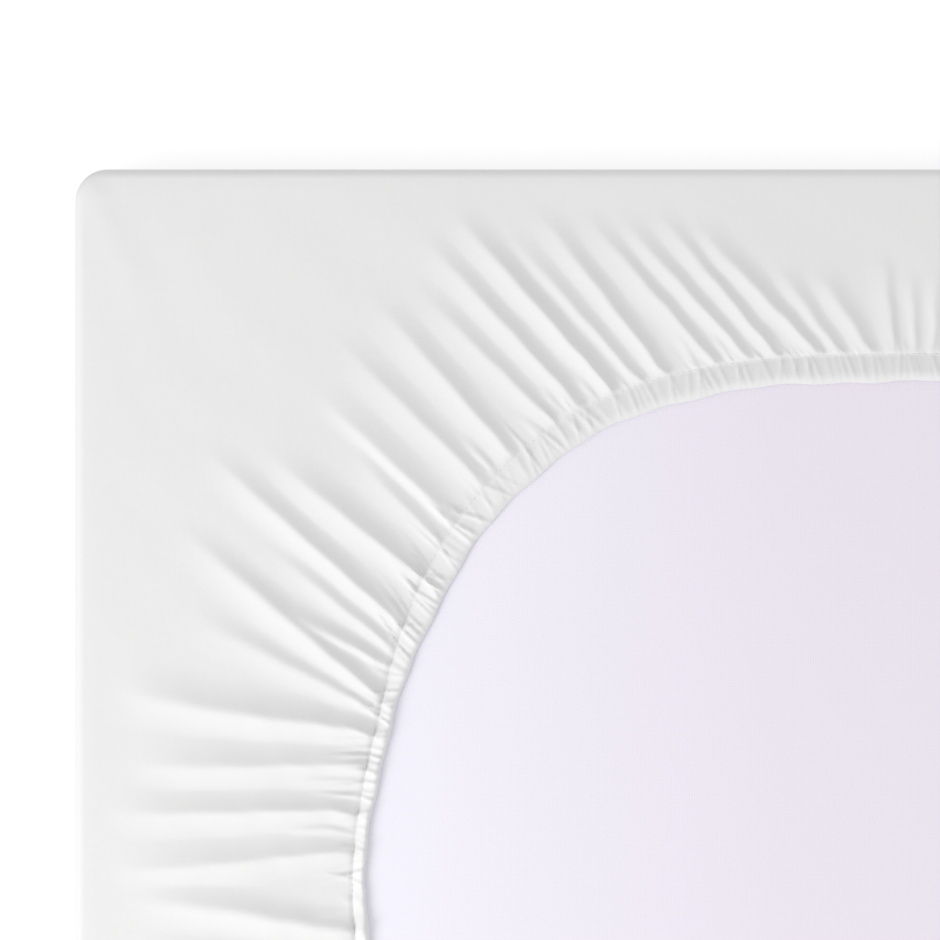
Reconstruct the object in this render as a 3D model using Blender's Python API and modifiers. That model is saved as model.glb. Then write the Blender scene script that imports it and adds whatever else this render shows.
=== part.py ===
"""A fitted sheet on its cot-bed mattress, lying face down with the gathered hem on top.

Metres, +Z up. X runs along the mattress, Y across it, and the origin is on the surface that the
sheet lies on, under the middle of the mattress. The sheet is one cloth: its face is flat on that
surface, it turns up the sides, rolls over the mattress's edges and is gathered into an oval hem.
"""

import math
import random
from collections import namedtuple

import bmesh
import bpy

MATTRESS_LENGTH = 1.400
MATTRESS_WIDTH = 0.700
MATTRESS_DEPTH = 0.100
MATTRESS_ROUNDING = 0.016

CLOTH = 0.0020          # thickness of the sheet
CLEARANCE = 0.0003      # between the cloth and the mattress's flat faces
CORNER_RADIUS = 0.0133  # middle of the cloth round a corner, seen from above
ROLL_RADIUS = 0.0100    # middle of the cloth round a long edge, seen from the end
SLACK = 0.0005          # how much further off the mattress the gathered cloth lies

# The hem is an oval: straight along the sides, with a rounded end on each short side
HEM_STRAIGHT = 0.258      # half of a straight run
HEM_END = 0.300           # length of a rounded end
HEM_HALF_WIDTH = 0.247
HEM_END_POWER = 3.8       # along X
HEM_SIDE_POWER = 1.66     # along Y
HEM_SAMPLES = 600

CASING_WIDTH = 0.0105     # from the hem's free edge to its stitched line
CASING_RISE = 0.0030
CASING_RUFFLE = 0.0008    # how far the casing swells and sinks along the hem
CASING_PITCH = 0.031
HEM_WANDER = 0.0008       # how far the free edge strays from its oval
HEM_WANDER_PITCH = 0.083

STITCH_SHARE = 0.55       # how much of a fold's height is left at the stitched line
FOLD_ROWS = (0.16, 0.46)  # sections of a fold, as shares of the way from the stitching to the roll
TROUGH_AT = 0.35          # a fold drops this share of the way to the next one
CORNER_STEPS = 4
SEED = 11

# Folds of one quarter of the sheet, from the middle of a short side to the middle of a long side.
# hem: where it meets the hem, measured along the hem. edge: where its line meets the mattress's
# edge, measured along that edge. height: at its crest. reach: how far it runs from the stitching.
Fold = namedtuple("Fold", "hem edge height reach")
FOLDS = (
    Fold(hem=0.015, edge=0.012, height=0.0040, reach=0.100),
    Fold(hem=0.036, edge=0.042, height=0.0035, reach=0.105),
    Fold(hem=0.056, edge=0.068, height=0.0035, reach=0.095),
    Fold(hem=0.074, edge=0.106, height=0.0060, reach=0.110),
    Fold(hem=0.090, edge=0.160, height=0.0042, reach=0.090),
    Fold(hem=0.107, edge=0.212, height=0.0064, reach=0.125),
    Fold(hem=0.130, edge=0.268, height=0.0056, reach=0.115),
    Fold(hem=0.152, edge=0.292, height=0.0060, reach=0.090),
    Fold(hem=0.178, edge=0.372, height=0.0046, reach=0.120),
    Fold(hem=0.204, edge=0.394, height=0.0045, reach=0.095),
    Fold(hem=0.222, edge=0.430, height=0.0050, reach=0.095),
    Fold(hem=0.244, edge=0.456, height=0.0046, reach=0.090),
    Fold(hem=0.260, edge=0.485, height=0.0050, reach=0.110),
    Fold(hem=0.278, edge=0.512, height=0.0068, reach=0.115),
    Fold(hem=0.292, edge=0.533, height=0.0045, reach=0.090),
    Fold(hem=0.308, edge=0.556, height=0.0050, reach=0.095),
    Fold(hem=0.325, edge=0.577, height=0.0050, reach=0.095),
    Fold(hem=0.342, edge=0.596, height=0.0046, reach=0.090),
    Fold(hem=0.359, edge=0.616, height=0.0046, reach=0.090),
    Fold(hem=0.377, edge=0.638, height=0.0050, reach=0.085),
    Fold(hem=0.397, edge=0.668, height=0.0040, reach=0.055),
    Fold(hem=0.422, edge=0.748, height=0.0036, reach=0.045),
    Fold(hem=0.452, edge=0.783, height=0.0042, reach=0.065),
    Fold(hem=0.487, edge=0.818, height=0.0048, reach=0.080),
    Fold(hem=0.524, edge=0.856, height=0.0044, reach=0.070),
    Fold(hem=0.566, edge=0.900, height=0.0050, reach=0.085),
    Fold(hem=0.612, edge=0.948, height=0.0042, reach=0.065),
    Fold(hem=0.660, edge=0.998, height=0.0046, reach=0.075),
)
FOLD_STRAY = 0.0035        # how far the other quarters' folds stray from these
HEIGHT_STRAY = 0.22
REACH_STRAY = 0.15

# The middle of the cloth on each face
LOWEST = CLOTH / 2
HIGHEST = 1.5 * CLOTH + 2 * CLEARANCE + MATTRESS_DEPTH
HALF_LENGTH = MATTRESS_LENGTH / 2 + CLEARANCE + CLOTH / 2
HALF_WIDTH = MATTRESS_WIDTH / 2 + CLEARANCE + CLOTH / 2
STRAIGHT_END = HALF_WIDTH - CORNER_RADIUS
CORNER_ARC = CORNER_RADIUS * math.pi / 2
EDGE_QUARTER = STRAIGHT_END + CORNER_ARC + HALF_LENGTH - CORNER_RADIUS

# A line of the cloth from the hem to the mattress's edge. turns: whether the plain faces below
# need a corner here too.
Spoke = namedtuple("Spoke", "hem edge height reach turns")


def clear_scene():
    for obj in list(bpy.data.objects):
        bpy.data.objects.remove(obj, do_unlink=True)


def new_collection(name):
    collection = bpy.data.collections.new(name)
    bpy.context.scene.collection.children.link(collection)
    return collection


def plain_material(name, colour, roughness):
    material = bpy.data.materials.new(name)
    material.use_nodes = True
    shader = material.node_tree.nodes["Principled BSDF"]
    shader.inputs["Base Color"].default_value = (*colour, 1.0)
    shader.inputs["Roughness"].default_value = roughness
    shader.inputs["Metallic"].default_value = 0.0
    return material


def lerp(a, b, share):
    return a + (b - a) * share


def hem_quarter():
    """Points of the hem from the middle of the -X end to the middle of the +Y side, and the
    distance along the hem to each."""
    points = []
    for i in range(HEM_SAMPLES + 1):
        turn = 0.5 * math.pi * i / HEM_SAMPLES
        x = -HEM_STRAIGHT - HEM_END * abs(math.cos(turn)) ** (2 / HEM_END_POWER)
        y = HEM_HALF_WIDTH * math.sin(turn) ** (2 / HEM_SIDE_POWER)
        points.append((x, y))
    points.append((0.0, HEM_HALF_WIDTH))
    along = [0.0]
    for a, b in zip(points, points[1:]):
        along.append(along[-1] + math.dist(a, b))
    return points, along


HEM_POINTS, HEM_ALONG = hem_quarter()
HEM_QUARTER = HEM_ALONG[-1]


def hem_point(distance, outwards):
    """A point of the hem, moved outwards from the opening by a distance square to the hem."""
    i = 1
    while HEM_ALONG[i] < distance and i < len(HEM_ALONG) - 1:
        i += 1
    a, b = HEM_POINTS[i - 1], HEM_POINTS[i]
    span = HEM_ALONG[i] - HEM_ALONG[i - 1]
    share = (distance - HEM_ALONG[i - 1]) / span
    along_x, along_y = (b[0] - a[0]) / span, (b[1] - a[1]) / span
    if distance <= 0:
        along_x, along_y = 0.0, 1.0
    return lerp(a[0], b[0], share) - along_y * outwards, lerp(a[1], b[1], share) + along_x * outwards


def edge_point(distance, inset):
    """A point of the mattress's outline as the cloth follows it, moved inwards by inset."""
    radius = CORNER_RADIUS - inset
    if distance <= STRAIGHT_END:
        return inset - HALF_LENGTH, distance
    turn = (distance - STRAIGHT_END) / CORNER_RADIUS
    if turn >= math.pi / 2:
        return distance - EDGE_QUARTER, HALF_WIDTH - inset
    return (CORNER_RADIUS - HALF_LENGTH - radius * math.cos(turn),
            STRAIGHT_END + radius * math.sin(turn))


def strayed(folds, rng):
    return [
        Fold(hem=fold.hem + rng.uniform(-FOLD_STRAY, FOLD_STRAY),
             edge=fold.edge + rng.uniform(-FOLD_STRAY, FOLD_STRAY),
             height=fold.height * rng.uniform(1 - HEIGHT_STRAY, 1 + HEIGHT_STRAY),
             reach=fold.reach * rng.uniform(1 - REACH_STRAY, 1 + REACH_STRAY))
        for fold in folds
    ]


def between(a, b, share, turns):
    values = [lerp(p, q, share) for p, q in zip(a[:4], b[:4])]
    return Spoke(*values, turns)


def quarter_spokes(folds):
    """Crest, trough, crest and so on, with extra spokes where the outline turns the corner."""
    first = Spoke(0.0, 0.0, 0.0, folds[0].reach, True)
    last = Spoke(HEM_QUARTER, EDGE_QUARTER, 0.0, folds[-1].reach, True)
    crests = [Spoke(*fold, False) for fold in folds] + [last]
    spokes = [first]
    for crest, following in zip(crests, crests[1:]):
        trough = between(crest, following, TROUGH_AT, False)
        spokes += [crest, trough._replace(height=0.0)]
    spokes.append(last)
    for step in range(CORNER_STEPS + 1):
        edge = STRAIGHT_END + CORNER_ARC * step / CORNER_STEPS
        i = next(i for i, spoke in enumerate(spokes) if spoke.edge > edge)
        share = (edge - spokes[i - 1].edge) / (spokes[i].edge - spokes[i - 1].edge)
        spokes.insert(i, between(spokes[i - 1], spokes[i], share, True))
    return spokes


def fold_height(spoke, distance):
    """How far the cloth rises at a distance from the stitching: it fades out at the reach."""
    if distance >= spoke.reach:
        return 0.0
    return spoke.height * math.cos(0.5 * math.pi * distance / spoke.reach) ** 2


def wave(size, distance, pitch):
    return size * math.sin(2 * math.pi * distance / pitch)


def gathered_section(spoke):
    """Points of one spoke in its quarter, from the hem's free edge over the roll to the wall."""
    lying = HIGHEST + SLACK
    wander = wave(HEM_WANDER, spoke.hem, HEM_WANDER_PITCH)
    ruffle = wave(CASING_RUFFLE, spoke.hem, CASING_PITCH)
    free = hem_point(spoke.hem, wander)
    crown = hem_point(spoke.hem, CASING_WIDTH / 2 + wander)
    stitched = hem_point(spoke.hem, CASING_WIDTH)
    rolls = edge_point(spoke.edge, ROLL_RADIUS)
    length = math.dist(stitched, rolls)
    points = [
        (*free, lying + ruffle / 2),
        (*crown, lying + CASING_RISE + ruffle),
        (*stitched, lying + STITCH_SHARE * spoke.height),
    ]
    for share in FOLD_ROWS:
        x, y = lerp(stitched[0], rolls[0], share), lerp(stitched[1], rolls[1], share)
        points.append((x, y, lying + fold_height(spoke, share * length)))
    points.append((*rolls, HIGHEST))
    points += roll_points(spoke.edge, HIGHEST, 1)
    return points


def roll_points(edge, face, sign):
    """The cloth turning from a face to the wall, in two equal steps."""
    points = []
    for turn in (math.pi / 4, math.pi / 2):
        inset = ROLL_RADIUS * (1 - math.sin(turn))
        drop = ROLL_RADIUS * (1 - math.cos(turn))
        points.append((*edge_point(edge, inset), face - sign * drop))
    return points


def plain_section(spoke):
    """Points of one spoke from the foot of the wall, under the lower roll, to the flat face."""
    rolled = roll_points(spoke.edge, LOWEST, -1)
    return [*reversed(rolled), (*edge_point(spoke.edge, ROLL_RADIUS), LOWEST)]


def all_sections():
    """Sections all round the sheet: the quarters are mirror images whose folds stray a little."""
    rng = random.Random(SEED)
    sections = []
    for number, (flip_x, flip_y) in enumerate(((1, 1), (-1, 1), (-1, -1), (1, -1))):
        folds = FOLDS if number == 0 else strayed(FOLDS, rng)
        spokes = quarter_spokes(folds)
        if number % 2:
            spokes = spokes[-2:0:-1]
        for spoke in spokes:
            upper = [(x * flip_x, y * flip_y, z) for x, y, z in gathered_section(spoke)]
            lower = [(x * flip_x, y * flip_y, z) for x, y, z in plain_section(spoke)]
            sections.append((upper, lower if spoke.turns else None))
    return sections


def sheet_surface():
    """The middle of the cloth, as one open surface with the hem's opening."""
    bm = bmesh.new()
    sections = all_sections()
    upper = [[bm.verts.new(point) for point in points] for points, _ in sections]
    lower = [points and [bm.verts.new(point) for point in points] for _, points in sections]
    for here, there in zip(upper, upper[1:] + upper[:1]):
        for i in range(len(here) - 1):
            bm.faces.new((here[i], here[i + 1], there[i + 1], there[i]))
    turning = [i for i, points in enumerate(lower) if points]
    for i, j in zip(turning, turning[1:] + [turning[0] + len(sections)]):
        here, there = lower[i], lower[j % len(sections)]
        wall_top = [upper[k % len(sections)][-1] for k in range(i, j + 1)]
        bm.faces.new((*reversed(wall_top), here[0], there[0]))
        for k in range(len(here) - 1):
            bm.faces.new((here[k], here[k + 1], there[k + 1], there[k]))
    bm.faces.new([lower[i][-1] for i in turning])
    bmesh.ops.recalc_face_normals(bm, faces=bm.faces)
    mesh = bpy.data.meshes.new("fitted_sheet")
    bm.to_mesh(mesh)
    bm.free()
    return mesh


def make_fitted_sheet(collection):
    sheet = bpy.data.objects.new("fitted_sheet", sheet_surface())
    collection.objects.link(sheet)
    thickness = sheet.modifiers.new("Cloth", "SOLIDIFY")
    thickness.thickness = CLOTH
    thickness.offset = 0.0
    thickness.use_even_offset = True
    thickness.use_quality_normals = True
    sheet.data.materials.append(plain_material("white_cotton", (0.80, 0.80, 0.79), 0.85))


def make_mattress(collection):
    bpy.ops.mesh.primitive_cube_add(
        size=1.0, location=(0, 0, CLOTH + CLEARANCE + MATTRESS_DEPTH / 2))
    mattress = bpy.context.object
    mattress.name = "mattress"
    mattress.scale = (MATTRESS_LENGTH, MATTRESS_WIDTH, MATTRESS_DEPTH)
    bpy.ops.object.transform_apply(location=False, rotation=False, scale=True)
    rounding = mattress.modifiers.new("Rounding", "BEVEL")
    rounding.width = MATTRESS_ROUNDING
    rounding.segments = 4
    mattress.data.materials.append(plain_material("pale_ticking", (0.83, 0.81, 0.88), 0.80))
    for owner in list(mattress.users_collection):
        owner.objects.unlink(mattress)
    collection.objects.link(mattress)


def main():
    clear_scene()
    collection = new_collection("fitted_sheet_on_mattress")
    make_mattress(collection)
    make_fitted_sheet(collection)


main()
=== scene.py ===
"""A fitted sheet on its cot mattress, lying face down with the gathered hem on top.

The file is laid out as a Blender add-on and runs as a script: operators make the mattress, the
cloth, its sewing and the stage. Metres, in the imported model's frame: X along the mattress, Y across
it, +Z up from the surface that the sheet lies on.
"""

import math
import random
from collections import namedtuple

import bmesh
import bpy
import numpy as np
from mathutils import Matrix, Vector


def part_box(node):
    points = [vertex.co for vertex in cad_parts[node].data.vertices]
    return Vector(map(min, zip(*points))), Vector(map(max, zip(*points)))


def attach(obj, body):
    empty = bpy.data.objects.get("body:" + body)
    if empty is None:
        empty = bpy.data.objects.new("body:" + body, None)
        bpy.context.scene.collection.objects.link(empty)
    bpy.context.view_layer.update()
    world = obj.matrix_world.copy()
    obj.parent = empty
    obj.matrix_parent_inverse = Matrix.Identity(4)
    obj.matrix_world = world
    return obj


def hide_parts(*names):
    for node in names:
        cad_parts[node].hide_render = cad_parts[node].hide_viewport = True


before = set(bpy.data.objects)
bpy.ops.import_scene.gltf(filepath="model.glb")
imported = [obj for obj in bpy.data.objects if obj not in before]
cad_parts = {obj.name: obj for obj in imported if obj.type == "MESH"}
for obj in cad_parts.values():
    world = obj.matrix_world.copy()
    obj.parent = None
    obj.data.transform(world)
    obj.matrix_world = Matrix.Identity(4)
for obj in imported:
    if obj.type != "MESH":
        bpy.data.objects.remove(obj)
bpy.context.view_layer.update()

bl_info = {
    "name": "Fitted sheet on a cot mattress",
    "version": (1, 0, 0),
    "blender": (4, 5, 0),
    "location": "3D View > Sidebar > Fitted sheet",
    "description": "Makes a gathered fitted sheet on its mattress, with its sewing and a studio stage",
    "category": "Object",
}

BODY = "root"
MM = 0.001

# The cloth's outer faces, and the mattress's underside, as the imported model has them
SHEET_LOW, SHEET_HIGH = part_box("fitted_sheet")
MATTRESS_LOW, MATTRESS_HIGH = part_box("mattress")
HALF_LENGTH = SHEET_HIGH[0]
HALF_WIDTH = SHEET_HIGH[1]
UNDERSIDE = MATTRESS_HIGH[2]
CLOTH_OVER = MATTRESS_LOW[2]         # how far the cloth's outer face lies off the mattress
FLAT_LEVEL = UNDERSIDE + CLOTH_OVER

# The hem's opening: straight along the sides, with a rounded end on each short side
HEM_STRAIGHT = 0.258
HEM_END = 0.3018
HEM_HALF_WIDTH = 0.2485
HEM_END_POWER = 3.8
HEM_SIDE_POWER = 1.66
HEM_SAMPLES = 4000       # on the rounded end
HEM_SIDE_SAMPLES = 200
HEM_LOOK = 2 * MM        # how far along the hem its direction is read

# The mattress's edges as the cloth rounds them: corner seen from above, roll seen from the end
CORNER = 0.0160
ROLL = 0.0052
ROLL_STEPS = 7
WALL_STEPS = 12
WALL_SKIP = 4            # the plain walls keep one column in this many

# Where lines of cloth that leave the hem here reach the mattress's edge, both measured from the
# middle of a short side; between the rows they fan out evenly
Spread = namedtuple("Spread", "hem edge")
SPREADS = (
    Spread(0, 0), Spread(40, 39), Spread(64, 64), Spread(78, 104), Spread(100, 215),
    Spread(128, 271), Spread(152, 296), Spread(182, 350), Spread(204, 390), Spread(222, 430),
    Spread(276, 512), Spread(341, 594), Spread(374, 632), Spread(399, 690), Spread(429, 768),
)
SPREAD_BLUR = 9 * MM
SPREAD_BLUR_STEPS = 9

# Spacing of the cloth's columns along the hem: fine, then coarse beyond the second number
FINE_COLUMN = 0.80 * MM
FINE_UP_TO = 448 * MM
COARSE_COLUMN = 2.05 * MM
GATHER_ROWS = 29
GATHER_POWER = 1.5       # rows crowd towards the stitching

# The casing, across from where it is tucked under to its stitching. share: of the casing's width
# from the free edge. rise: over the mattress. swell: how much of a ruffle's height it takes.
Casing = namedtuple("Casing", "share rise swell")
CASING = (
    Casing(0.25, 0.5, 0.0), Casing(0.08, 0.5, 0.0), Casing(0.00, 1.0, 0.1),
    Casing(-0.03, 1.8, 0.2), Casing(-0.01, 2.6, 0.3), Casing(0.04, 3.3, 0.3),
    Casing(0.11, 3.9, 0.4), Casing(0.20, 4.2, 0.6), Casing(0.30, 4.1, 0.8),
    Casing(0.41, 3.7, 1.0), Casing(0.52, 3.2, 1.0), Casing(0.63, 2.7, 1.0),
    Casing(0.74, 2.2, 1.0), Casing(0.84, 1.7, 0.9), Casing(0.93, 1.2, 0.7),
    Casing(1.00, 1.1, 0.5),
)
# How wide the casing is along the hem, in millimetres
CasingWidth = namedtuple("CasingWidth", "hem width")
CASING_WIDTHS = (
    CasingWidth(0, 6.5), CasingWidth(80, 7.0), CasingWidth(120, 10.5), CasingWidth(160, 13.5),
    CasingWidth(240, 14.0), CasingWidth(320, 13.2), CasingWidth(710, 12.8),
)

# The folds of one quarter, in millimetres; the others repeat them with small strays. hem and edge:
# where the crest's line meets the hem and the mattress's edge, measured from the middle of the
# short side. reach: how far the fold runs from the stitching. lit, shade: widths of its slopes
# towards the short side and away from it. bow, hook: how far its middle and its foot bend away
# from the short side, negative towards it.
Fold = namedtuple("Fold", "hem edge reach height lit shade bow hook")
FOLDS = (
    Fold(20, 6, 112, 4.0, 13, 13, -1.5, -4.0),
    Fold(29, 30, 34, 1.5, 4, 4, 0.0, -3.5),
    Fold(39, 36, 114, 4.2, 12, 12, -0.8, -4.0),
    Fold(53, 52, 38, 1.6, 5, 4, 0.0, -2.0),
    Fold(62, 60, 110, 4.2, 12, 14, -2.0, -5.0),
    Fold(70, 82, 16, 1.2, 3, 3, 0.0, -1.5),
    Fold(78, 100, 120, 5.0, 13, 15, -3.0, -4.5),
    Fold(86, 162, 95, 2.8, 11, 8, 0.0, 0.0),
    Fold(92, 220, 121, 4.2, 13, 9, 0.0, 0.0),
    Fold(108, 189, 60, 3.2, 5, 6, 0.0, 0.0),
    Fold(116, 244, 71, 2.4, 7, 7, 0.0, 0.0),
    Fold(128, 271, 121, 4.0, 11, 10, 0.0, 0.0),
    Fold(152, 288, 88, 4.2, 12, 12, 0.0, 0.0),
    Fold(171, 354, 57, 2.0, 9, 7, -1.5, 0.0),
    Fold(182, 351, 84, 3.0, 6, 12, 0.0, 0.0),
    Fold(204, 388, 95, 3.0, 13, 10, 0.0, 0.0),
    Fold(211, 412, 22, 1.3, 3, 3, 0.0, 0.0),
    Fold(222, 436, 95, 3.4, 12, 10, 0.0, 0.0),
    Fold(246, 453, 88, 2.8, 11, 8, 0.0, 0.0),
    Fold(253, 470, 18, 1.3, 3, 3, 0.0, 0.0),
    Fold(260, 485, 107, 3.4, 10, 8, 0.0, 0.0),
    Fold(268, 500, 15, 1.2, 3, 3, 0.0, 0.0),
    Fold(276, 512, 112, 4.5, 10, 9, 0.0, 0.0),
    Fold(289, 530, 90, 2.4, 6, 7, 0.0, 0.0),
    Fold(301, 556, 96, 3.2, 8, 8, 0.0, 0.0),
    Fold(317, 585, 24, 1.4, 4, 3, 0.0, 0.0),
    Fold(325, 575, 92, 3.0, 11, 7, 0.0, 0.0),
    Fold(333, 600, 17, 1.2, 3, 3, 0.0, 0.0),
    Fold(341, 590, 88, 3.0, 8, 7, 0.0, 0.0),
    Fold(354, 613, 87, 3.0, 8, 7, 0.0, 0.0),
    Fold(374, 622, 85, 3.4, 9, 9, 0.0, 0.0),
    Fold(384, 654, 50, 2.4, 7, 8, 0.0, 0.0),
    Fold(399, 676, 46, 2.6, 9, 9, 0.0, 0.0),
    Fold(410, 737, 46, 1.8, 9, 4, 0.0, 0.0),
    Fold(420, 753, 38, 1.4, 4, 4, 0.0, 0.0),
    Fold(429, 769, 38, 1.4, 4, 4, 0.0, 0.0),
)
REACH_GAIN = 1.07        # the cloth still rises slightly this much past a fold's end
FOLD_BEHIND = 12 * MM    # how far a fold runs back over the casing
FOLD_FOOT = 0.72         # a fold's height at the stitching, as a share of its crest's
FOLD_FOOT_LENGTH = 10 * MM
FOLD_END_POWER = 5.0     # how late a fold starts to fade towards its far end
FOLD_FADE_POWER = 1.4
FOLD_WIDTHS = (0.78, 0.55)        # of the table's: at the foot, and what its far end adds
FOLD_ROUNDING = 0.9 * MM
FOLD_ROUNDINGS = (0.8, 1.6)       # of the rounding: at the foot, and what its far end adds
HOOK_LENGTH = 11 * MM
WAVER = 0.28 * MM        # how far a crest strays from its line
WAVER_LENGTHS = (2.7 * MM, 4.9 * MM)
FOLD_BLEND = 3           # power of the soft maximum that joins crossing folds
FOLD_ON_CASING = 0.55    # how much of a fold's height crosses the casing at the rounded ends
ROUNDED_END = 150 * MM   # how far along the hem a rounded end's fullness reaches
ROUNDED_END_FADE = 170 * MM
GROOVE_LENGTH = 2.2 * MM          # the folds rise from the stitching over this

# The folds along the middle of a long side, in millimetres: lowest and highest of each size
SIDE_FOLD_PITCH = 15
SIDE_FOLD_GAPS = (0.75, 1.3)
SIDE_FOLD_LEANS = (-7, 7)
SIDE_FOLD_REACHES = (32, 70)
SIDE_FOLD_HEIGHTS = (1.4, 2.6)
SIDE_FOLD_LITS = (5, 9)
SIDE_FOLD_SHADES = (4, 8)
SIDE_FOLD_BOWS = (-1, 1)
SIDE_FOLD_MARGIN = 4

# How the other quarters' folds stray from the first's: in millimetres, and as shares
STRAY_HEMS = (-3.5, 3.5)
STRAY_EDGES = (-6, 6)
STRAY_REACHES = (0.82, 1.12)
STRAY_HEIGHTS = (0.72, 1.25)
STRAY_BOWS = (-1.5, 1.5)
SEED = 7

# The small gathers across the casing. The second of a pair may be larger at the rounded ends.
RUFFLE_GAPS = (2.8 * MM, 5.2 * MM)
RUFFLE_TAILS = (3, 9)
RUFFLE_TAIL_MORE = 13
RUFFLE_HEIGHTS = (0.25, 0.70)
RUFFLE_HEIGHT_MORE = 0.95
RUFFLE_LITS = (1.6, 2.6)
RUFFLE_SHADES = (1.0, 1.7)
RUFFLE_SLANTS = (-0.35, 0.25)
RUFFLE_POWER = 1.5
RUFFLE_WINDOW = 12 * MM
RUFFLE_START = 2 * MM
RUFFLE_FADE_START = 0.3  # of its tail
STITCH_DIP = 0.75        # how much of a gather the stitching holds down
STITCH_DIP_LESS = 0.55   # how much less at the rounded ends
STITCH_DIP_LENGTH = 0.9 * MM

# How high the cloth lies behind the stitching, before it lies flat on the mattress's edge
STITCHED_RISE = 1.5 * MM
STITCHED_RISE_LENGTH = 45 * MM

# Broad, slight swells of the lying cloth: a wave along the direction x, y whose phase sways along
# the direction across_x, across_y
Swell = namedtuple("Swell", "height length x y phase sway sway_length across_x across_y")
SWELLS = (
    Swell(0.16 * MM, 0.0210, 1, 0, 0.0, 1.7, 0.047, 0, 1),
    Swell(0.14 * MM, 0.0180, 0, 1, 0.8, 2.1, 0.055, 1, 0),
    Swell(0.10 * MM, 0.0093, 1, 1, 0.0, 1.0, 0.030, 1, -1),
)

# A free edge's waves along the hem
Wave = namedtuple("Wave", "height length phase")
EDGE_WAVES = (Wave(0.5 * MM, 0.013, 0.0), Wave(0.35 * MM, 0.0047, 1.0))

# The soft crease by which each corner's seam pulls the cloth: from and towards these distances
# from the short side and the long side
DRAG_START = (11 * MM, 15 * MM)
DRAG_TOWARDS = (20 * MM, 36 * MM)
DRAG_REACH = 62 * MM
DRAG_HEIGHT = 0.8 * MM
DRAG_SLOPES = (12 * MM, 15 * MM)

# The walls: a slight belly with waves, and drag lines that start this far from a corner
WALL_BELLY = 0.9 * MM
WALL_WAVE = Wave(0.25 * MM, 0.031, 0.0)
WallLine = namedtuple("WallLine", "start lean height")
WALL_LINES = (
    WallLine(16 * MM, 0.9, 0.70 * MM), WallLine(34 * MM, 1.3, 0.55 * MM),
    WallLine(62 * MM, 1.9, 0.45 * MM),
)
WALL_LINE_BELOW = 6 * MM
WALL_LINE_REACHES = (60, 95)
WALL_LINE_SLOPES = (10 * MM, 9 * MM)
WALL_LINE_BOW = 2 * MM

# One crease of the cloth in plan or along a wall: where it starts, its unit directions and sizes
Crease = namedtuple("Crease", "foot along across reach height lit shade bow hook")


# ---------------------------------------------------------------- outlines

def hem_curve():
    """Points of one quarter of the hem, and the distance along it to each."""
    turn = np.linspace(0.0, math.pi / 2, HEM_SAMPLES)
    x = -HEM_STRAIGHT - HEM_END * np.abs(np.cos(turn)) ** (2 / HEM_END_POWER)
    y = HEM_HALF_WIDTH * np.sin(turn) ** (2 / HEM_SIDE_POWER)
    x = np.append(x, np.linspace(-HEM_STRAIGHT, 0.0, HEM_SIDE_SAMPLES)[1:])
    y = np.append(y, np.full(HEM_SIDE_SAMPLES - 1, HEM_HALF_WIDTH))
    along = np.append(0.0, np.cumsum(np.hypot(np.diff(x), np.diff(y))))
    return x, y, along


HEM_X, HEM_Y, HEM_ALONG = hem_curve()
HEM_QUARTER = HEM_ALONG[-1]
CORNER_START = HALF_WIDTH - CORNER
CORNER_ARC = CORNER * math.pi / 2
EDGE_QUARTER = CORNER_START + CORNER_ARC + HALF_LENGTH - CORNER


def hem_at(distance, outwards=0.0):
    """Points of the quarter's hem, moved square to it away from the opening."""
    before = np.clip(distance - HEM_LOOK, 0.0, HEM_QUARTER)
    after = np.clip(distance + HEM_LOOK, 0.0, HEM_QUARTER)
    run_x = np.interp(after, HEM_ALONG, HEM_X) - np.interp(before, HEM_ALONG, HEM_X)
    run_y = np.interp(after, HEM_ALONG, HEM_Y) - np.interp(before, HEM_ALONG, HEM_Y)
    run_x = np.where(distance < HEM_LOOK, 0.0, run_x)
    length = np.hypot(run_x, run_y)
    x = np.interp(distance, HEM_ALONG, HEM_X) - run_y / length * outwards
    y = np.interp(distance, HEM_ALONG, HEM_Y) + run_x / length * outwards
    return np.stack([x, y], axis=-1)


def edge_at(distance, inset):
    """Points of the quarter's outline, moved square to it towards the middle."""
    radius = CORNER - inset
    turn = np.clip((distance - CORNER_START) / CORNER, 0.0, math.pi / 2)
    past_corner = np.maximum(distance - CORNER_START - CORNER_ARC, 0.0)
    x = CORNER - HALF_LENGTH - radius * np.cos(turn) + past_corner
    y = np.minimum(distance, CORNER_START) + radius * np.sin(turn)
    return np.stack(np.broadcast_arrays(x, y), axis=-1)


def edge_of_hem(hem):
    """Where the lines of cloth that leave the hem here reach the edge: the spreads, blurred."""
    hems = np.array([row.hem for row in SPREADS]) * MM
    edges = np.array([row.edge for row in SPREADS]) * MM
    hems = np.concatenate([-hems[:0:-1], hems, 2 * HEM_QUARTER - hems[::-1]])
    edges = np.concatenate([-edges[:0:-1], edges, 2 * EDGE_QUARTER - edges[::-1]])
    shifts = np.linspace(-SPREAD_BLUR, SPREAD_BLUR, SPREAD_BLUR_STEPS)
    return sum(np.interp(hem + shift, hems, edges) for shift in shifts) / len(shifts)


def casing_width(hem):
    """How wide the casing is at a distance along the hem."""
    hems = [row.hem * MM for row in CASING_WIDTHS]
    return np.interp(hem, hems, [row.width * MM for row in CASING_WIDTHS])


def smooth(value):
    """From 0 to 1 with soft ends, as the value goes from 0 to 1."""
    value = np.clip(value, 0.0, 1.0)
    return value * value * (3 - 2 * value)


# ---------------------------------------------------------------- folds

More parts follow.
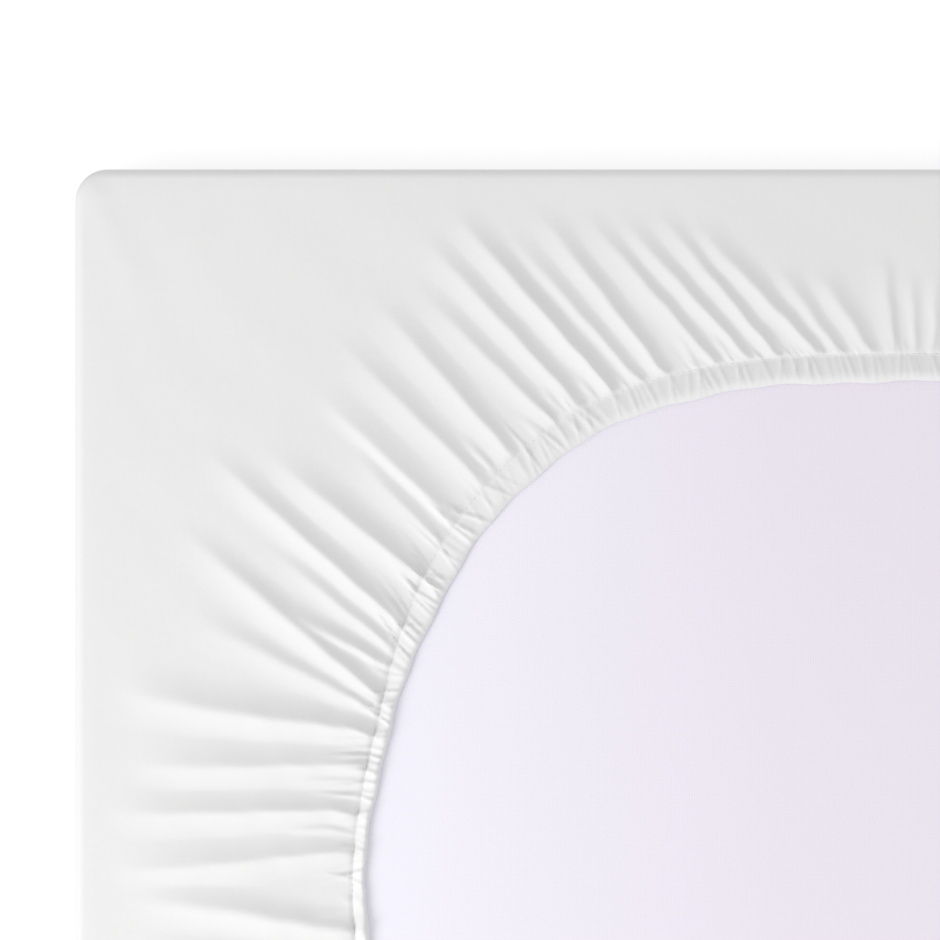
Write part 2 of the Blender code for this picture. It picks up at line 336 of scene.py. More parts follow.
def side_folds(rng):
    """The slight folds along the middle of a long side, about square to the hem."""
    folds = []
    hem = FOLDS[-1].hem + SIDE_FOLD_PITCH
    while hem < HEM_QUARTER / MM - SIDE_FOLD_MARGIN:
        folds.append(Fold(
            hem=hem,
            edge=hem + (EDGE_QUARTER - HEM_QUARTER) / MM + rng.uniform(*SIDE_FOLD_LEANS),
            reach=rng.uniform(*SIDE_FOLD_REACHES),
            height=rng.uniform(*SIDE_FOLD_HEIGHTS),
            lit=rng.uniform(*SIDE_FOLD_LITS),
            shade=rng.uniform(*SIDE_FOLD_SHADES),
            bow=rng.uniform(*SIDE_FOLD_BOWS),
            hook=0.0,
        ))
        hem += SIDE_FOLD_PITCH * rng.uniform(*SIDE_FOLD_GAPS)
    return folds


def strayed(folds, rng):
    """The same folds, a little different, as in the other quarters."""
    return [
        fold._replace(
            hem=fold.hem + rng.uniform(*STRAY_HEMS),
            edge=fold.edge + rng.uniform(*STRAY_EDGES),
            reach=fold.reach * rng.uniform(*STRAY_REACHES),
            height=fold.height * rng.uniform(*STRAY_HEIGHTS),
            bow=fold.bow + rng.uniform(*STRAY_BOWS),
        )
        for fold in folds
    ]


def crease_of(fold, flip):
    """A fold's crease in plan, in the quarter that flip gives."""
    hem = fold.hem * MM
    foot = hem_at(np.float64(hem), casing_width(hem))
    head = edge_at(np.float64(fold.edge * MM), 0.0)
    along = (head - foot) / np.hypot(*(head - foot))
    across = np.array([along[1], -along[0]])
    return Crease(
        foot=foot * flip, along=along * flip, across=across * flip,
        reach=fold.reach * MM * REACH_GAIN, height=fold.height * MM, lit=fold.lit * MM,
        shade=fold.shade * MM, bow=fold.bow * MM, hook=fold.hook * MM)


def wavering(run, crease):
    """How far a crest strays from its line at each distance, not alike in any two creases."""
    phase = 40 * crease.foot[0] / MM
    short, long = WAVER_LENGTHS
    return WAVER * (np.sin(run / short + phase) + np.sin(run / long + 2 * phase))


def crease_heights(points, creases):
    """How high the creases stand at each point: pinched ridges, joined by a soft maximum."""
    total = np.zeros(len(points))
    for crease in creases:
        offset = points - crease.foot
        along = offset @ crease.along
        near = np.flatnonzero((along > -FOLD_BEHIND) & (along < crease.reach))
        run = np.maximum(along[near], 0.0)
        share = run / crease.reach
        sway = crease.bow * np.sin(math.pi * share) + crease.hook * np.exp(-run / HOOK_LENGTH)
        sway += wavering(run, crease)
        across = offset[near] @ crease.across - sway
        width = np.where(across < 0, crease.lit, crease.shade)
        width = width * (FOLD_WIDTHS[0] + FOLD_WIDTHS[1] * share)
        rounding = FOLD_ROUNDING * (FOLD_ROUNDINGS[0] + FOLD_ROUNDINGS[1] * share)
        gap = (np.sqrt(across ** 2 + rounding ** 2) - rounding) / width
        crest = FOLD_FOOT + (1 - FOLD_FOOT) * smooth(run / FOLD_FOOT_LENGTH)
        crest = crest * crease.height * (1 - share ** FOLD_END_POWER) ** FOLD_FADE_POWER
        total[near] += (crest * np.clip(1 - gap, 0.0, 1.0) ** 2) ** FOLD_BLEND
    return total ** (1 / FOLD_BLEND)


# ---------------------------------------------------------------- the cloth's surface

QUARTERS = ((1, 1), (-1, 1), (-1, -1), (1, -1))


def column_hems(number):
    """Where a quarter's columns of cloth leave the hem, in its own order."""
    if number:
        return np.arange(COARSE_COLUMN / 2, HEM_QUARTER, COARSE_COLUMN)
    fine = np.arange(FINE_COLUMN / 2, FINE_UP_TO, FINE_COLUMN)
    return np.concatenate([fine, np.arange(fine[-1] + COARSE_COLUMN, HEM_QUARTER, COARSE_COLUMN)])


def wandering(loop):
    """How far the free edge strays from its oval, along the whole hem."""
    return sum(wave.height * np.sin(loop / wave.length + wave.phase) for wave in EDGE_WAVES)


class Cloth:
    """The cloth from its tucked-under edge to the end of the roll, in columns round the hem."""

    def __init__(self, settings):
        self.settings = settings
        self.rng = random.Random(SEED)
        self.lay_columns()
        self.raise_folds()
        self.raise_ruffles()

    def lay_columns(self):
        """Places in plan and heights of the columns before any fold."""
        plans, levels, loops, outs, edges, flips = [], [], [], [], [], []
        for number, flip in enumerate(QUARTERS):
            hem = column_hems(number)
            loop = number * HEM_QUARTER + hem
            if number % 2:
                hem = hem[::-1]
                loop = (number + 1) * HEM_QUARTER - hem
            plan, level, out = self.quarter(hem, loop)
            plans.append(plan * flip)
            levels.append(level)
            outs.append(out)
            loops.append(loop)
            edges.append(edge_of_hem(hem))
            flips.append(np.tile(flip, (len(hem), 1)))
        self.plan = np.concatenate(plans, axis=1)
        self.level = np.concatenate(levels, axis=1)
        self.out = np.concatenate(outs, axis=1)
        self.loop = np.concatenate(loops)
        self.edge = np.concatenate(edges)
        self.flip = np.concatenate(flips)

    def quarter(self, hem, loop):
        """One quarter's rows of points, their heights, and how far out from the hem each lies."""
        width = casing_width(hem)
        stray = wandering(loop)
        plan, level, out = [], [], []
        for row in CASING:
            outwards = row.share * width + stray * (1 - row.share)
            plan.append(hem_at(hem, outwards))
            level.append(np.full(len(hem), UNDERSIDE + row.rise * MM))
            out.append(row.share * width)
        stitched = plan[-1]
        rolls = edge_at(edge_of_hem(hem), ROLL)
        length = np.hypot(*(rolls - stitched).T)
        for i in range(1, GATHER_ROWS + 1):
            share = (i / GATHER_ROWS) ** GATHER_POWER
            run = share * length
            plan.append(stitched + (rolls - stitched) * share)
            lifted = smooth(run / STITCHED_RISE_LENGTH)
            rise = STITCHED_RISE + (CLOTH_OVER - STITCHED_RISE) * lifted
            rise = np.maximum(rise, CLOTH_OVER * smooth(3 * share - 2))
            level.append(UNDERSIDE + rise)
            out.append(width + run)
        return np.array(plan), np.array(level), np.array(out)

    def raise_folds(self):
        """The folds, the swells between them and the corners' drag."""
        creases = []
        for number, flip in enumerate(QUARTERS):
            folds = list(FOLDS) + side_folds(self.rng)
            if number:
                folds = strayed(folds, self.rng)
            creases += [crease_of(fold, np.array(flip)) for fold in folds]
        first = len(CASING)
        heights = crease_heights(self.plan.reshape(-1, 2), creases).reshape(self.plan.shape[:2])
        heights *= self.settings.fold_strength
        crossing = FOLD_ON_CASING * self.near_end(self.loop)
        swell = np.array([row.swell for row in CASING])[:, None]
        self.level[:first] += heights[:first] * swell * crossing
        plan = self.plan[first:]
        run = self.out[first:] - self.out[first - 1]
        roll = run[-1]
        fading = 1 - (1 - smooth(run / GROOVE_LENGTH)) * (1 - crossing)
        self.level[first:] += heights[first:] * fading * (1 - smooth((run / roll - 0.82) / 0.16))
        self.level[first:] += self.unevenness(plan) * (1 - smooth((run / roll - 0.8) / 0.2))
        self.level[first:] += self.corner_drag(plan)

    def near_end(self, loop):
        """1 along the opening's rounded ends, and 0 along its sides."""
        place = np.abs((loop + HEM_QUARTER) % (2 * HEM_QUARTER) - HEM_QUARTER)
        return 1 - smooth((place - ROUNDED_END) / ROUNDED_END_FADE)

    def unevenness(self, plan):
        """Broad, slight swells of the lying cloth."""
        x, y = plan[..., 0], plan[..., 1]
        total = 0.0
        for row in SWELLS:
            sway = row.sway * np.sin((x * row.across_x + y * row.across_y) / row.sway_length)
            wave = np.sin((x * row.x + y * row.y) / row.length + sway + row.phase)
            total = total + row.height * wave
        return total

    def corner_drag(self, plan):
        """Where a corner's seam pulls the cloth: a soft crease that leaves the corner aslant."""
        start = np.array([-HALF_LENGTH + DRAG_START[0], HALF_WIDTH - DRAG_START[1]])
        end = np.array([-HALF_LENGTH + DRAG_TOWARDS[0], HALF_WIDTH - DRAG_TOWARDS[1]])
        along = (end - start) / np.hypot(*(end - start))
        across = np.array([-along[1], along[0]])
        creases = [
            Crease(start * flip, along * flip, across * flip, DRAG_REACH, DRAG_HEIGHT,
                   *DRAG_SLOPES, bow=0.0, hook=0.0)
            for flip in map(np.array, QUARTERS)
        ]
        return crease_heights(plan.reshape(-1, 2), creases).reshape(plan.shape[:2])

    def raise_ruffles(self):
        """Small gathers square to the hem, across the casing and a little way out from it."""
        total = 4 * HEM_QUARTER
        swell = np.array([row.swell for row in CASING])
        inner = np.concatenate([swell, np.ones(len(self.level) - len(swell))])[:, None]
        first = len(CASING)
        run = np.maximum(self.out - self.out[first - 1], 0.0)
        behind = (np.arange(len(run)) >= first - 1)[:, None]
        groove = np.exp(-((run / STITCH_DIP_LENGTH) ** 2)) * behind
        dip = 1 - groove * (STITCH_DIP - STITCH_DIP_LESS * self.near_end(self.loop))
        place = RUFFLE_START
        while place < total - RUFFLE_START:
            near_end = float(self.near_end(place))
            least, most = RUFFLE_TAILS
            tail = self.rng.uniform(least, most + RUFFLE_TAIL_MORE * near_end) * MM
            least, most = RUFFLE_HEIGHTS
            height = self.rng.uniform(least, most + RUFFLE_HEIGHT_MORE * near_end) * MM
            lit = self.rng.uniform(*RUFFLE_LITS) * MM
            shade = self.rng.uniform(*RUFFLE_SHADES) * MM
            slant = self.rng.uniform(*RUFFLE_SLANTS) * (1 + near_end)
            low = np.searchsorted(self.loop, place - RUFFLE_WINDOW)
            high = np.searchsorted(self.loop, place + RUFFLE_WINDOW)
            part = (slice(None), slice(low, high))
            offset = self.loop[low:high] - place - slant * self.out[part]
            offset = offset * np.where(self.odd(low, high), -1, 1)
            width = np.where(offset < 0, lit, shade)
            ridge = np.clip(1 - np.abs(offset) / width, 0.0, 1.0) ** RUFFLE_POWER
            fade = 1 - smooth((run[part] - RUFFLE_FADE_START * tail) / tail)
            rise = height * ridge * fade * inner * dip[part]
            self.level[part] += rise * self.settings.ruffle_strength
            place += self.rng.uniform(*RUFFLE_GAPS)

    def odd(self, low, high):
        """Which columns lie in a quarter whose short side comes after them along the loop."""
        return (self.flip[low:high, 0] * self.flip[low:high, 1] < 0)[None, :]


def wall_creases(rng):
    """Slight drag lines on the walls near a corner, measured along the edge and up the wall."""
    creases = []
    middle = CORNER_START + CORNER_ARC / 2
    for side in (-1, 1):
        for row in WALL_LINES:
            foot = np.array([middle + side * row.start, UNDERSIDE - WALL_LINE_BELOW])
            along = np.array([side * row.lean, -1.0]) / math.hypot(row.lean, 1.0)
            across = np.array([along[1], -along[0]])
            reach = rng.uniform(*WALL_LINE_REACHES) * MM
            creases.append(Crease(foot, along, across, reach, row.height, *WALL_LINE_SLOPES,
                                  bow=WALL_LINE_BOW, hook=0.0))
    return creases


def wall_bulge(edge, level, creases):
    """How far the wall's cloth stands out: a slight belly with waves, and drag lines."""
    up = (level - SHEET_LOW[2]) / (FLAT_LEVEL - SHEET_LOW[2])
    free = np.sin(math.pi * up)
    belly = WALL_BELLY * free ** 2
    belly += WALL_WAVE.height * np.sin(edge / WALL_WAVE.length + 2 * up + WALL_WAVE.phase) * free
    points = np.stack([edge, level], axis=-1)
    drag = crease_heights(points, creases)
    return belly + drag * np.sqrt(free)


# ---------------------------------------------------------------- mesh building

def mesh_object(name, vertices, faces, material):
    """A smooth-shaded mesh object in the scene."""
    mesh = bpy.data.meshes.new(name)
    mesh.from_pydata(vertices, [], faces)
    mesh.validate()
    mesh.shade_smooth()
    mesh.materials.append(material)
    obj = bpy.data.objects.new(name, mesh)
    bpy.context.scene.collection.objects.link(obj)
    return obj


def grid_faces(ids):
    """Quads of a grid of vertex numbers whose columns close into a loop."""
    turned = np.roll(ids, -1, axis=1)
    quads = np.stack([ids[:-1], turned[:-1], turned[1:], ids[1:]], axis=-1)
    return quads.reshape(-1, 4).tolist()


def sheet_mesh(settings):
    """Vertices and faces of the whole sheet, from the hem over the walls to its flat face."""
    cloth = Cloth(settings)
    count = len(cloth.loop)
    plans, levels = list(cloth.plan), list(cloth.level)
    for step in range(1, ROLL_STEPS + 1):
        turn = 0.5 * math.pi * step / ROLL_STEPS
        plans.append(edge_at(cloth.edge, ROLL * (1 - math.sin(turn))) * cloth.flip)
        levels.append(np.full(count, FLAT_LEVEL - ROLL * (1 - math.cos(turn))))
    upper_ids = np.arange(len(plans) * count).reshape(-1, count)

    in_corner = (cloth.edge > CORNER_START) & (cloth.edge < CORNER_START + CORNER_ARC)
    kept = np.flatnonzero((np.arange(count) % WALL_SKIP == 0) | in_corner)
    edge, flip = cloth.edge[kept], cloth.flip[kept]
    creases = wall_creases(random.Random(SEED))
    lower_plans, lower_levels = [], []
    top, foot = FLAT_LEVEL - ROLL, SHEET_LOW[2] + ROLL
    for step in range(1, WALL_STEPS + 1):
        level = np.full(len(kept), top + (foot - top) * step / WALL_STEPS)
        bulge = wall_bulge(edge, level, creases) * (step < WALL_STEPS)
        lower_plans.append(edge_at(edge, -bulge) * flip)
        lower_levels.append(level)
    for step in range(1, ROLL_STEPS + 1):
        turn = 0.5 * math.pi * step / ROLL_STEPS
        lower_plans.append(edge_at(edge, ROLL * (1 - math.cos(turn))) * flip)
        lower_levels.append(np.full(len(kept), foot - ROLL * math.sin(turn)))
    lower_ids = upper_ids.size + np.arange(len(lower_plans) * len(kept)).reshape(-1, len(kept))

    faces = grid_faces(upper_ids) + grid_faces(lower_ids)
    rim = upper_ids[-1]
    for i, here in enumerate(kept):
        j = (i + 1) % len(kept)
        there = kept[j] if j else kept[0] + count
        wall_top = [int(rim[k % count]) for k in range(here, there + 1)]
        faces.append([*wall_top, int(lower_ids[0][j]), int(lower_ids[0][i])])
    faces.append([int(k) for k in lower_ids[-1]])
    plan = np.concatenate([np.concatenate(plans), np.concatenate(lower_plans)])
    level = np.concatenate([np.concatenate(levels), np.concatenate(lower_levels)])
    return np.column_stack([plan, level]).tolist(), faces


# ---------------------------------------------------------------- shaders

class Wire:
    """A node's output, so that shader maths reads as an expression."""

    def __init__(self, graph, socket):
        self.graph = graph
        self.socket = socket

    def math(self, operation, left, right=0.0):
        """A Math node on two values, each a Wire or a number."""
        return self.graph.node("ShaderNodeMath", {"operation": operation}, {0: left, 1: right})

    def __add__(self, other):
        return self.math("ADD", self, other)

    def __sub__(self, other):
        return self.math("SUBTRACT", self, other)

    def __rsub__(self, other):
        return self.math("SUBTRACT", other, self)

    def __mul__(self, other):
        return self.math("MULTIPLY", self, other)

    __radd__ = __add__
    __rmul__ = __mul__

    def sine(self):
        return self.math("SINE", self)

    def size(self):
        return self.math("ABSOLUTE", self)


class Graph:
    """A material's node tree with one Principled shader, whose constants are set by name."""

    def __init__(self, name, **constants):
        self.material = bpy.data.materials.new(name)
        self.material.use_nodes = True
        self.tree = self.material.node_tree
        self.shader = self.tree.nodes["Principled BSDF"]
        for socket, value in constants.items():
            self.shader.inputs[socket.replace("_", " ")].default_value = value

    def node(self, kind, settings, sockets, output=0):
        """Any node: its settings first, then the values or links of its sockets."""
        made = self.tree.nodes.new(kind)
        for key, value in settings.items():
            setattr(made, key, value)
        for key, value in sockets.items():
            self.feed(made.inputs[key], value)
        return Wire(self, made.outputs[output])

    def feed(self, socket, value):
        if isinstance(value, Wire):
            self.tree.links.new(value.socket, socket)
        else:
            socket.default_value = value

    def finish(self, **links):
        """Link what changes over the surface to the shader, and give the material."""
        for socket, value in links.items():
            self.feed(self.shader.inputs[socket.replace("_", " ")], value)
        return self.material

    def place(self):
        """Where a point is on the object, as a vector and as three lengths."""
        vector = self.node("ShaderNodeTexCoord", {}, {}, "Object")
        parts = self.node("ShaderNodeSeparateXYZ", {}, {0: vector})
        outputs = parts.socket.node.outputs
        return vector, [Wire(self, outputs[i]) for i in range(3)]

    def facing(self):
        """How far a point faces along each axis."""
        normal = self.node("ShaderNodeNewGeometry", {}, {}, "Normal")
        parts = self.node("ShaderNodeSeparateXYZ", {}, {0: normal})
        outputs = parts.socket.node.outputs
        return [Wire(self, outputs[i]).size() for i in range(3)]

    def noise(self, vector, scale, detail=2.0, roughness=0.5):
        return self.node("ShaderNodeTexNoise", {}, {
            "Vector": vector, "Scale": scale, "Detail": detail, "Roughness": roughness})

    def mix(self, factor, low, high):
        return self.node("ShaderNodeMix", {"data_type": "RGBA"}, {0: factor, 6: low, 7: high}, 2)

    def stretch(self, vector, amounts):
        return self.node("ShaderNodeVectorMath", {"operation": "MULTIPLY"}, {0: vector, 1: amounts})

    def spread(self, value, low, high):
        """The value from low to high, spread over 0 to 1 with soft ends."""
        return self.node("ShaderNodeMapRange", {"interpolation_type": "SMOOTHSTEP"}, {
            "Value": value, "From Min": low, "From Max": high})

    def bump(self, height, strength, distance, under=None):
        sockets = {"Strength": strength, "Distance": distance, "Height": height}
        if under:
            sockets["Normal"] = under
        return self.node("ShaderNodeBump", {}, sockets)

    def weave(self, a, b, pitch):
        """Threads that pass over and under each other along two lengths."""
        turn = math.pi / pitch
        return (a * turn).sine() * (b * turn).sine()


def woven(graph, pitch):
    """The weave on faces that look along any axis."""
    vector, (x, y, z) = graph.place()
    along_x, along_y, along_z = graph.facing()
    weave = graph.weave(x, y, pitch) * along_z + graph.weave(x, z, pitch) * along_y
    return vector, weave + graph.weave(y, z, pitch) * along_x


def cotton(settings):
    """White woven cotton: a plain weave with slubs, slightly crumpled."""
    graph = Graph("white_cotton", Specular_IOR_Level=0.25, Sheen_Weight=0.12, Sheen_Roughness=0.5)
    vector, weave = woven(graph, settings.thread)
    slubs = graph.noise(graph.stretch(vector, (60.0, 700.0, 700.0)), 1.0, 2.0)
    cross_slubs = graph.noise(graph.stretch(vector, (700.0, 60.0, 700.0)), 1.0, 2.0)
    crumple = graph.noise(vector, 90.0, 4.0, 0.55)
    broad = graph.noise(vector, 9.0, 2.0)
    white = settings.colour
    shaded = [channel * 0.955 for channel in white]
    tone = graph.mix(broad * 0.5 + slubs * 0.3 + cross_slubs * 0.3, (*shaded, 1.0), (*white, 1.0))
    threads = graph.bump(weave + slubs + cross_slubs, 0.35, 0.00006)
    normal = graph.bump(crumple, 0.35, 0.0006, threads)
    return graph.finish(Base_Color=tone, Roughness=0.80 + 0.12 * broad, Normal=normal)


def thread(settings):
    """White sewing thread with its twist."""
    graph = Graph("white_thread", Specular_IOR_Level=0.35, Sheen_Weight=0.1)
    vector, _ = graph.place()
    twist = graph.noise(graph.stretch(vector, (2500.0, 2500.0, 2500.0)), 1.0, 2.0)
    tone = graph.mix(twist, (0.74, 0.74, 0.74, 1.0), (*settings.colour, 1.0))
    return graph.finish(Base_Color=tone, Roughness=0.55 + 0.2 * twist,
                        Normal=graph.bump(twist, 0.4, 0.0001))


def ticking(settings):
    """The mattress's ticking: lilac white at the ends, and towards the middle a darker blush white
    that is partly its own pink tint and partly painted shade.
    """
    graph = Graph("lilac_ticking", Specular_IOR_Level=0.25, Sheen_Weight=0.08)
    vector, (x, y, z) = graph.place()
    weave = graph.weave(x + y, x - y, settings.thread * 1.6)
    clouds = graph.noise(vector, 3.2, 2.0)
    fine = graph.noise(vector, 160.0, 3.0)
    # painted shade: towards the middle the colour turns darker as well as pinker
    middle = 1 - graph.spread(x.size() + clouds * 0.16, 0.40, 0.68)
    tone = graph.mix(middle, (*settings.lilac, 1.0), (*settings.blush_with_painted_shade, 1.0))
    normal = graph.bump(weave + fine, 0.3, 0.0001, graph.bump(clouds, 0.3, 0.004))
    return graph.finish(Base_Color=tone, Roughness=0.72 + 0.16 * fine, Normal=normal)


def floor_finish(settings):
    """A pale floor with a faint grain."""
    graph = Graph("pale_floor", Specular_IOR_Level=0.0)
    vector, _ = graph.place()
    grain = graph.noise(vector, 30.0, 2.0)
    level = settings.floor_tone
    tone = graph.mix(grain, (level, level, level, 1.0), (level * 0.995, level, level, 1.0))
    return graph.finish(Base_Color=tone, Roughness=0.92 + 0.05 * grain)


# ---------------------------------------------------------------- settings

class ClothSettings(bpy.types.PropertyGroup):
    """The sheet's cloth and sewing"""

    fold_strength: bpy.props.FloatProperty(
        name="Fold strength", description="Height of the folds, against the table's", default=1.0,
        min=0.0, max=3.0)
    ruffle_strength: bpy.props.FloatProperty(
        name="Ruffle strength", description="Height of the casing's small gathers", default=1.0,
        min=0.0, max=3.0)
    colour: bpy.props.FloatVectorProperty(
        name="Cotton", description="Colour of the cloth", default=(0.82, 0.82, 0.818),
        subtype="COLOR", min=0.0, max=1.0)
    thread: bpy.props.FloatProperty(
        name="Thread spacing", description="Distance from one thread to the next",
        default=0.00042, unit="LENGTH")
    stitch: bpy.props.FloatProperty(
        name="Stitch", description="Length of one stitch of the casing", default=0.0021,
        unit="LENGTH")
    stitch_pitch: bpy.props.FloatProperty(
        name="Stitch pitch", description="Distance from one stitch to the next", default=0.0029,
        unit="LENGTH")
    stitch_radius: bpy.props.FloatProperty(
        name="Sewing thread", description="Radius of the sewing thread", default=0.00019,
        unit="LENGTH")


class MattressSettings(bpy.types.PropertyGroup):
    """The mattress's ticking and shape"""

    lilac: bpy.props.FloatVectorProperty(
        name="Lilac white", description="Colour towards the ends", default=(0.885, 0.87, 0.95),
        subtype="COLOR", min=0.0, max=1.0)
    # painted shade: this colour is darker than the lilac, standing in for shade towards the middle,
    # besides being pinker
    blush_with_painted_shade: bpy.props.FloatVectorProperty(
        name="Blush white", description="Colour towards the middle", default=(0.84, 0.79, 0.88),
        subtype="COLOR", min=0.0, max=1.0)
    thread: bpy.props.FloatProperty(
        name="Thread spacing", description="Distance from one thread to the next",
        default=0.0005, unit="LENGTH")
    rounding: bpy.props.FloatProperty(
        name="Rounding", description="Radius of the mattress's edges", default=0.016,
        unit="LENGTH")
    crown: bpy.props.FloatProperty(
        name="Crown", description="How far the underside swells in the middle", default=0.0012,
        unit="LENGTH")


class StageSettings(bpy.types.PropertyGroup):
    """The floor and the lights"""

    floor_tone: bpy.props.FloatProperty(
        name="Floor", description="How pale the floor is", default=0.9, min=0.0, max=1.0)
    sky: bpy.props.FloatProperty(
        name="Fill", description="Strength of the even light from all round", default=0.77)
    key: bpy.props.FloatProperty(
        name="Key", description="Power of the soft light", default=18.6, unit="POWER")
    wash: bpy.props.FloatProperty(
        name="Floor wash", description="Strength of the light on the floor alone", default=1.6)


# ---------------------------------------------------------------- operators

class FITTEDSHEET_OT_mattress(bpy.types.Operator):
    """Make the plain mattress: a padded block with rounded edges and a slight crown"""

    bl_idname = "fittedsheet.mattress"
    bl_label = "Mattress"

    CUTS = 48
    FILL = 0.9

    def execute(self, context):
        settings = context.scene.cot_mattress
        size = Vector(MATTRESS_HIGH) - Vector(MATTRESS_LOW)
        middle = (Vector(MATTRESS_HIGH) + Vector(MATTRESS_LOW)) / 2
        vertices, faces = self.block()
        places = [middle + self.rounded(Vector(v), size / 2, settings) for v in vertices]
        mattress = mesh_object("mattress_block", places, faces, ticking(settings))
        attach(mattress, BODY)
        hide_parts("mattress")
        return {"FINISHED"}

    def block(self):
        """A cube from -1 to 1 whose faces are divided, with the divisions closer at its edges."""
        bm = bmesh.new()
        bmesh.ops.create_cube(bm, size=2.0)
        bmesh.ops.subdivide_edges(bm, edges=bm.edges, cuts=self.CUTS, use_grid_fill=True)
        vertices = [[math.sin(0.5 * math.pi * c) for c in v.co] for v in bm.verts]
        faces = [[v.index for v in f.verts] for f in bm.faces]
        bm.free()
        return vertices, faces

    def rounded(self, share, half, settings):
        """A point of the block: its edges are rounded and its broad faces are slightly crowned."""
        place = Vector(s * h for s, h in zip(share, half))
        core = Vector(max(-h + settings.rounding, min(h - settings.rounding, p))
                      for p, h in zip(place, half))
        if (place - core).length > 0:
            place = core + (place - core).normalized() * settings.rounding
        crown = settings.crown * (1 - share.x ** 2) * (1 - share.y ** 2)
        place.z += crown * max(share.z, 0.0)
        return place


class FITTEDSHEET_OT_cloth(bpy.types.Operator):
    """Make the fitted sheet: one cloth with its gathered hem, folds, walls and flat face"""

    bl_idname = "fittedsheet.cloth"
    bl_label = "Fitted sheet"

    # The cut of the cloth: its rectangle, and its area without the four corner squares
    CUT = (1.22, 1.92)
    CUT_AREA = 2.07

    def execute(self, context):
        settings = context.scene.fitted_cloth
        vertices, faces = sheet_mesh(settings)
        sheet = mesh_object("sheet_cloth", vertices, faces, cotton(settings))
        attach(sheet, BODY)
        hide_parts("fitted_sheet")
        return {"FINISHED"}


class FITTEDSHEET_OT_stitches(bpy.types.Operator):
    """Sew the casing: a line of short stitches along the groove behind it"""

    bl_idname = "fittedsheet.stitches"
    bl_label = "Casing stitches"

    SIDES = 6
    # Along the stitch, in its lengths; then thickness and lift, in radii of the thread
    SECTIONS = ((-0.5, 0.45, -0.9), (-0.3, 1.0, 0.2), (0.3, 1.0, 0.2), (0.5, 0.45, -0.9))

    def execute(self, context):
        settings = context.scene.fitted_cloth
        vertices, faces = [], []
        for flip in QUARTERS:
            hem = np.arange(settings.stitch_pitch / 2, HEM_QUARTER, settings.stitch_pitch)
            here = hem_at(hem, casing_width(hem)) * flip
            ahead = hem_at(hem + MM, casing_width(hem)) * flip
            for place, following in zip(here, ahead):
                self.sew(vertices, faces, Vector((*place, 0)), Vector((*following, 0)), settings)
        stitches = mesh_object("casing_stitches", vertices, faces, thread(settings))
        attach(stitches, BODY)
        return {"FINISHED"}

    def sew(self, vertices, faces, place, following, settings):
        """One stitch: a short round thread whose ends dip into the cloth."""
        along = (following - place).normalized()
        side = Vector((-along.y, along.x, 0))
        radius = settings.stitch_radius
        level = UNDERSIDE + CASING[-1].rise * MM + 0.5 * radius
        first = len(vertices)
        for share, thickness, lift in self.SECTIONS:
            for i in range(self.SIDES):
                turn = 2 * math.pi * i / self.SIDES
                point = place + along * settings.stitch * share
                point = point + side * radius * thickness * math.cos(turn)
                up = level + radius * (lift + thickness * math.sin(turn))
                vertices.append((point.x, point.y, up))
        for section in range(len(self.SECTIONS) - 1):
            for i in range(self.SIDES):
                a = first + section * self.SIDES + i
                b = first + section * self.SIDES + (i + 1) % self.SIDES
                faces.append((a, b, b + self.SIDES, a + self.SIDES))
        last = first + (len(self.SECTIONS) - 1) * self.SIDES
        faces.append(tuple(range(first + self.SIDES - 1, first - 1, -1)))
        faces.append(tuple(range(last, last + self.SIDES)))


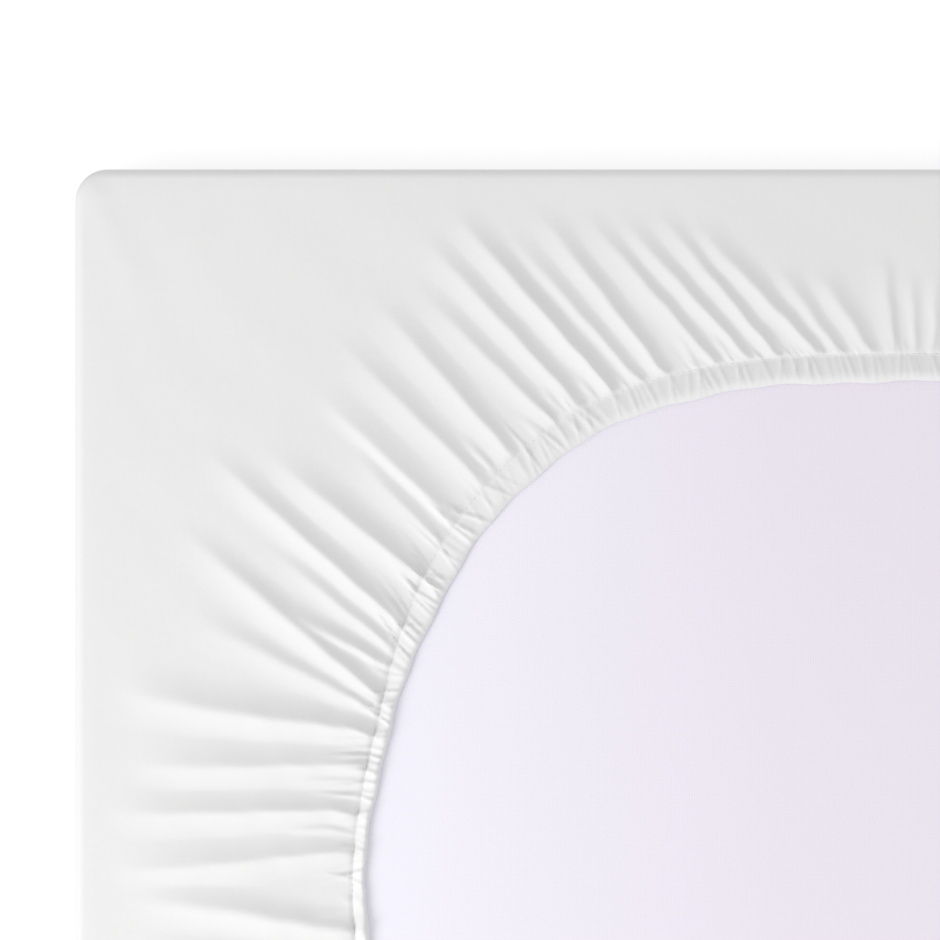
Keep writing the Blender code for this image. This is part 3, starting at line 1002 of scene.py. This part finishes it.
class FITTEDSHEET_OT_stage(bpy.types.Operator):
    """Set the stage: a pale floor, soft studio light and a camera straight above one corner"""

    bl_idname = "fittedsheet.stage"
    bl_label = "Stage"

    VIEW_WIDTH = 0.460           # what the camera sees across, at the cloth's level
    VIEW_CENTRE = (-0.5085, 0.2048)
    LENS = 135.0
    SENSOR = 36.0
    FLOOR_SIZE = 14.0
    FLOOR_GAP = 0.3 * MM
    KEY_PLACE = (-1.75, -0.95, 1.15)
    KEY_TARGET = (-0.45, 0.20, UNDERSIDE)
    KEY_SIZE = 0.9
    WASH_PLACE = (0.0, 0.0, 3.0)
    WASH_TARGET = (0.0, 0.0, 0.0)
    WASH_ANGLE = math.radians(50)

    def execute(self, context):
        settings = context.scene.studio_stage
        self.add_floor(settings)
        self.add_lights(settings)
        self.add_camera(context)
        context.scene.view_settings.view_transform = "Standard"
        return {"FINISHED"}

    def add_floor(self, settings):
        """The floor, which throws no light back on to the cloth's walls."""
        half = self.FLOOR_SIZE / 2
        level = SHEET_LOW[2] - self.FLOOR_GAP
        corners = [(x * half, y * half, level) for x, y in ((-1, -1), (1, -1), (1, 1), (-1, 1))]
        self.floor = mesh_object("studio_floor", corners, [(0, 1, 2, 3)], floor_finish(settings))
        self.floor.visible_diffuse = False

    def add_lights(self, settings):
        """An even fill, a soft key light on the object and a wash on the floor."""
        world = bpy.data.worlds.new("soft_sky")
        world.use_nodes = True
        background = world.node_tree.nodes["Background"]
        background.inputs["Color"].default_value = (1.0, 1.0, 1.0, 1.0)
        background.inputs["Strength"].default_value = settings.sky
        bpy.context.scene.world = world

        key = bpy.data.lights.new("key", "AREA")
        key.energy = settings.key
        key.size = self.KEY_SIZE
        pieces = [bpy.data.objects[name] for name in PIECES]
        self.light_only(self.aim("key", key, self.KEY_PLACE, self.KEY_TARGET), pieces)

        wash = bpy.data.lights.new("floor_wash", "SUN")
        wash.energy = settings.wash
        wash.angle = self.WASH_ANGLE
        lamp = self.aim("floor_wash", wash, self.WASH_PLACE, self.WASH_TARGET)
        self.light_only(lamp, [self.floor])

    def light_only(self, lamp, objects):
        """Keep a lamp's light to these objects."""
        lit = bpy.data.collections.new(lamp.name + "_lights")
        for obj in objects:
            lit.objects.link(obj)
        lamp.light_linking.receiver_collection = lit

    def aim(self, name, light, place, target):
        """A lamp at a place, pointed at a target."""
        lamp = bpy.data.objects.new(name, light)
        lamp.location = place
        direction = Vector(target) - Vector(place)
        lamp.rotation_euler = direction.to_track_quat("-Z", "Y").to_euler()
        bpy.context.scene.collection.objects.link(lamp)
        return lamp

    def add_camera(self, context):
        """A camera that looks straight down from where its view has the right width."""
        camera = bpy.data.cameras.new("camera")
        camera.lens = self.LENS
        camera.sensor_width = self.SENSOR
        distance = self.VIEW_WIDTH * self.LENS / self.SENSOR
        holder = bpy.data.objects.new("camera", camera)
        holder.location = (*self.VIEW_CENTRE, FLAT_LEVEL + distance)
        context.scene.collection.objects.link(holder)
        context.scene.camera = holder


class FITTEDSHEET_PT_panel(bpy.types.Panel):
    """Buttons for the pieces and the stage, with their sizes and colours"""

    bl_idname = "FITTEDSHEET_PT_panel"
    bl_label = "Fitted sheet"
    bl_space_type = "VIEW_3D"
    bl_region_type = "UI"
    bl_category = "Fitted sheet"

    def draw(self, context):
        for operator in OPERATORS:
            self.layout.operator(operator.bl_idname)
        for name, group in SETTINGS.items():
            box = self.layout.box()
            values = getattr(context.scene, name)
            for key in group.__annotations__:
                box.prop(values, key)


PIECES = ("mattress_block", "sheet_cloth", "casing_stitches")
SETTINGS = {
    "fitted_cloth": ClothSettings,
    "cot_mattress": MattressSettings,
    "studio_stage": StageSettings,
}
OPERATORS = (
    FITTEDSHEET_OT_mattress,
    FITTEDSHEET_OT_stitches,
    FITTEDSHEET_OT_cloth,
    FITTEDSHEET_OT_stage,
)


def register():
    for name, group in SETTINGS.items():
        bpy.utils.register_class(group)
        setattr(bpy.types.Scene, name, bpy.props.PointerProperty(type=group))
    for operator in OPERATORS:
        bpy.utils.register_class(operator)
    bpy.utils.register_class(FITTEDSHEET_PT_panel)


def unregister():
    bpy.utils.unregister_class(FITTEDSHEET_PT_panel)
    for operator in reversed(OPERATORS):
        bpy.utils.unregister_class(operator)
    for name, group in SETTINGS.items():
        delattr(bpy.types.Scene, name)
        bpy.utils.unregister_class(group)


def main():
    register()
    bpy.ops.fittedsheet.mattress()
    bpy.ops.fittedsheet.stitches()
    bpy.ops.fittedsheet.cloth()
    bpy.ops.fittedsheet.stage()
    bpy.context.view_layer.update()


if __name__ == "__main__":
    main()
